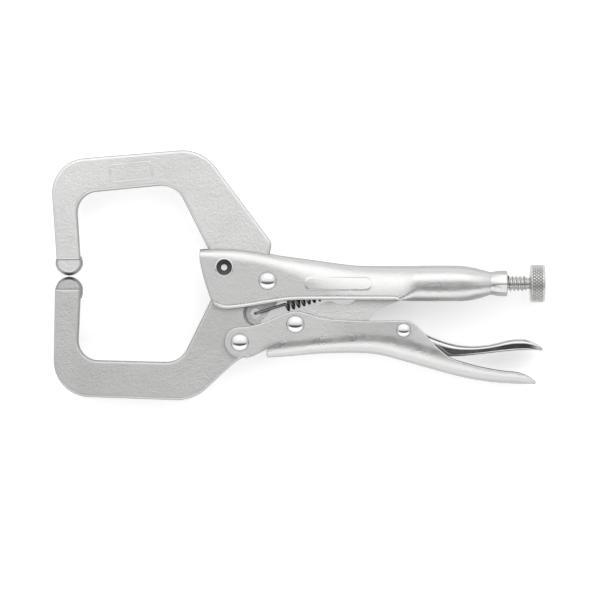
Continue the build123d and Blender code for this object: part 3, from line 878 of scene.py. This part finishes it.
def spring():
    """The return spring: an open coil with a hook in the heel and a leg through the tab."""
    span = np.linalg.norm(SPRING_TAB - SPRING_HOOK)
    along = (SPRING_TAB - SPRING_HOOK) / span
    up = np.array([-along[1], along[0]])
    route = spring_route(span)
    curve = bpy.data.curves.new("return_spring_wire", "CURVE")
    curve.dimensions = "3D"
    curve.bevel_depth = WIRE_RADIUS * MM
    curve.bevel_resolution = 5
    curve.use_fill_caps = True
    spline = curve.splines.new("NURBS")
    spline.points.add(len(route) - 1)
    for point, (s, v, z) in zip(spline.points, route):
        xy = SPRING_HOOK + along * s + up * v
        at = np.array([xy[0], xy[1], z]) * MM + PIVOT
        point.co = (*at, 1)
    spline.order_u = 3
    spline.use_endpoint_u = True
    spline.resolution_u = 4
    wire = bpy.data.objects.new("return_spring_wire", curve)
    bpy.context.scene.collection.objects.link(wire)
    graph = bpy.context.evaluated_depsgraph_get()
    mesh = bpy.data.meshes.new_from_object(wire.evaluated_get(graph))
    bpy.data.objects.remove(wire)
    thing = bpy.data.objects.new("return_spring_wire", mesh)
    bpy.context.scene.collection.objects.link(thing)
    shade(thing, 40)
    dress(thing, WIRE, ROOT, "return_spring")
    follow_hook(thing)


def follow_hook(thing):
    """Gives the spring its own copy of its mesh."""
    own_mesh(thing)


def paint_ring(thing, middle, material, inner, outer=math.inf, beyond=-1.0):
    """Gives that material to faces between two radii and beyond that height from mid-thickness."""
    thing.data.materials.append(material)
    for face in thing.data.polygons:
        at = (np.array(face.center) - PIVOT) / MM - np.array([middle[0], middle[1], 0])
        if inner < math.hypot(at[0], at[1]) < outer and abs(at[2]) > beyond:
            face.material_index = 1


def domed_rivet(node, body):
    """A domed rivet: a smooth cap on a low rounded edge, on both faces, with a ring of painted shade round
    it.
    """
    low, high = node_box(node)
    middle = (low + high) / 2
    radius = (high[0] - low[0]) / 2
    ball = (radius - RIVET_RIM) / math.sin(RIVET_SLOPE)
    top = high[2] - ball
    cap = [(ball * math.sin(a), top + ball * math.cos(a)) for a in np.linspace(0, RIVET_SLOPE, 26)]
    edge = cap[-1][1]
    cap += [(radius - 0.03, edge - 0.06), (radius, edge - 0.15), (radius, 5.0)]
    shank = [(RIVET_SHANK, -4.8), (RIVET_SHANK, 4.8)]
    profile = [(r, -z) for r, z in cap] + shank + cap[::-1]
    thing = lathe(node + "_dome", profile, ROUND, (middle[0], middle[1], 0), "Z", sharp=60)
    dress(thing, RIVET, body, node)
    # the rim's outer band is painted near-black as shade in the crevice round the rivet
    paint_ring(thing, middle, RIVET_RIM_SHADE, radius - RIVET_RIM)


def tubular_rivet():
    """The tubular rivet at the corner of the housing: a rolled rim round a funnel with painted shade in it.
    """
    low, high = node_box("fixed_jaw_rivet")
    middle = (low + high) / 2 - np.array([0, FUNNEL_DROP, 0])
    radius = (high[0] - low[0]) / 2
    top = high[2]
    cup = [(0.0, top - 0.3), (0.8, top - 0.3), (0.92, top - 0.29), (1.5, top - 0.2), (2.1, top - 0.1)]
    cup += [(2.4, top - 0.02), (2.55, top), (radius - 0.12, top - 0.04), (radius - 0.03, top - 0.15)]
    cup += [(radius, top - 0.3), (radius, 4.9)]
    shank = [(RIVET_SHANK, -4.6), (RIVET_SHANK, 4.6)]
    profile = [(r, -z) for r, z in cup] + shank + cup[::-1]
    thing = lathe("fixed_jaw_rivet_rim", profile, ROUND, (middle[0], middle[1], 0), "Z", sharp=70)
    dress(thing, RIVET, ROOT, "fixed_jaw_rivet")
    # the funnel's ring is painted almost black as shade in its hollow
    paint_ring(thing, middle, FUNNEL_SHADE, *FUNNEL_SHADE_RING, beyond=4.0)


def size_panel():
    """A blank raised frame on the fixed jaw's upper arm, where the real one has its size mark."""
    corners = np.array([(-48.0, 34.85), (-35.4, 36.05), (-34.8, 30.85), (-47.3, 29.65)])
    face = node_box("fixed_jaw")[1][2]
    corner_radius = 1.4
    outline = []
    for i in range(4):
        here = corners[i]
        before = corners[i - 1] - here
        after = corners[(i + 1) % 4] - here
        before = here + before / np.linalg.norm(before) * corner_radius
        after = here + after / np.linalg.norm(after) * corner_radius
        for t in np.linspace(0, 1, 9):
            outline.append((1 - t) ** 2 * before + 2 * t * (1 - t) * here + t**2 * after)
    outline = np.array(outline)
    count = len(outline)
    ahead = np.roll(outline, -1, axis=0) - np.roll(outline, 1, axis=0)
    ahead /= np.linalg.norm(ahead, axis=1)[:, None]
    side = np.column_stack([ahead[:, 1], -ahead[:, 0]])
    strip = [(-0.30, -0.1), (-0.24, 0.06), (-0.12, 0.13), (0.0, 0.15), (0.12, 0.13), (0.24, 0.06),
             (0.30, -0.1)]
    vertices = []
    for i in range(count):
        for across, height in strip:
            at = outline[i] + side[i] * across
            vertices.append((at[0], at[1], face + height))
    rows = len(strip)
    faces = []
    for i in range(count):
        n = (i + 1) % count
        for j in range(rows):
            k = (j + 1) % rows
            faces.append((i * rows + j, n * rows + j, n * rows + k, i * rows + k))
    thing = mesh_object("size_panel_frame", vertices, faces, 50)
    dress(thing, FORGED, ROOT)


# ---------------------------------------------------------------- light, floor and camera


def area_light(name, position, target, size, power):
    """A soft light aimed at a point."""
    data = bpy.data.lights.new(name, "AREA")
    data.shape = "RECTANGLE"
    data.size, data.size_y = size
    data.energy = power
    thing = bpy.data.objects.new(name, data)
    thing.location = position
    thing.rotation_euler = (Vector(target) - Vector(position)).to_track_quat("-Z", "Y").to_euler()
    bpy.context.scene.collection.objects.link(thing)


# The surround's brightness round the X axis: degrees from overhead toward +Y, and the grey there.
PANELS = [(-180, 0.6), (-92, 0.7), (-86, 0.8), (-78, 1.0), (-62, 1.5), (-38, 1.5), (-35, 1.3),
          (-33, 0.03), (-22, 0.07), (-12, 0.38), (-5, 0.87), (0, 1.04), (5, 1.12), (12, 1.15),
          (26, 1.3), (68, 1.25), (80, 0.85), (88, 0.72), (92, 0.7), (180, 0.6)]
END_GREY = 0.7
END_RANGE = (0.75, 0.97)          # where the panels fade into the plain ends, along X
FLOOR_HALF = 6.0
VIEW_WIDTH = 0.1818
VIEW_SHIFT = (0.0004, -0.0075)
CAMERA_DISTANCE = 1.5
SENSOR = 36.0


def surround():
    """A tent of pale panels along the tool's length, with one dark strip, and plain ends."""
    world = bpy.data.worlds.new("studio_surround")
    world.use_nodes = True
    nodes = world.node_tree.nodes
    links = world.node_tree.links
    place = nodes.new("ShaderNodeTexCoord")
    parts = nodes.new("ShaderNodeSeparateXYZ")
    links.new(place.outputs["Generated"], parts.inputs["Vector"])
    turn = nodes.new("ShaderNodeMath")
    turn.operation = "ARCTAN2"
    links.new(parts.outputs["Y"], turn.inputs[0])
    links.new(parts.outputs["Z"], turn.inputs[1])
    share = ramp(nodes, links, turn.outputs["Value"], 0.0, 1.0, -math.pi, math.pi)
    panels = nodes.new("ShaderNodeValToRGB")
    band = panels.color_ramp
    while len(band.elements) > 1:
        band.elements.remove(band.elements[0])
    band.elements[0].position = 0.0
    band.elements[0].color = (PANELS[0][1],) * 3 + (1,)
    for degrees, grey in PANELS[1:]:
        element = band.elements.new((degrees + 180) / 360)
        element.color = (grey, grey, grey, 1)
    links.new(share, panels.inputs["Fac"])
    along = nodes.new("ShaderNodeMath")
    along.operation = "ABSOLUTE"
    links.new(parts.outputs["X"], along.inputs[0])
    ends = ramp(nodes, links, along.outputs["Value"], 0.0, 1.0, *END_RANGE)
    close = nodes.new("ShaderNodeMix")
    close.data_type = "RGBA"
    close.inputs["B"].default_value = (END_GREY, END_GREY, END_GREY, 1)
    links.new(ends, close.inputs["Factor"])
    links.new(panels.outputs["Color"], close.inputs["A"])
    links.new(close.outputs["Result"], nodes["Background"].inputs["Color"])
    nodes["Background"].inputs["Strength"].default_value = 1.0
    bpy.context.scene.world = world


def studio():
    """A pale floor under the tool, the surround, and a soft light on the far side."""
    level = float(cad_low[2])
    corners = [(x * FLOOR_HALF, y * FLOOR_HALF, level) for x, y in ((-1, -1), (1, -1), (1, 1), (-1, 1))]
    mesh = bpy.data.meshes.new("studio_floor_plane")
    mesh.from_pydata(corners, [], [(0, 1, 2, 3)])
    floor = bpy.data.objects.new("studio_floor_plane", mesh)
    floor.data.materials.append(floor_material())
    bpy.context.scene.collection.objects.link(floor)
    surround()
    area_light("light_far", (0.1, 0.9, 1.0), (0, 0, 0), (1.6, 0.9), 2.0)


def camera():
    """A camera straight above the tool, far off, with a long lens."""
    middle_x = (cad_low[0] + cad_high[0]) / 2 + VIEW_SHIFT[0]
    middle_y = (cad_low[1] + cad_high[1]) / 2 + VIEW_SHIFT[1]
    data = bpy.data.cameras.new("camera")
    data.sensor_width = SENSOR
    data.lens = SENSOR * CAMERA_DISTANCE / VIEW_WIDTH
    data.clip_start = 0.01
    thing = bpy.data.objects.new("camera", data)
    thing.location = (middle_x, middle_y, PIVOT[2] + CAMERA_DISTANCE)
    bpy.context.scene.collection.objects.link(thing)
    bpy.context.scene.camera = thing


def main():
    bpy.context.scene.view_settings.view_transform = "Standard"
    camera()
    studio()
    repaint("fixed_jaw", FORGED)
    # the movable jaw wears the darker copy of the forging as painted shade
    repaint("movable_jaw", FORGED_SHADED)
    repaint("toggle_link", FORGED)
    upper_handle()
    neck()
    lower_handle()
    release_lever()
    thread()
    knob()
    spring()
    tubular_rivet()
    size_panel()
    domed_rivet("jaw_pivot_rivet", ROOT)
    domed_rivet("handle_pivot_rivet", LOWER_BODY)
    domed_rivet("link_pivot_rivet", LOWER_BODY)
    domed_rivet("release_lever_rivet", LOWER_BODY)


main()
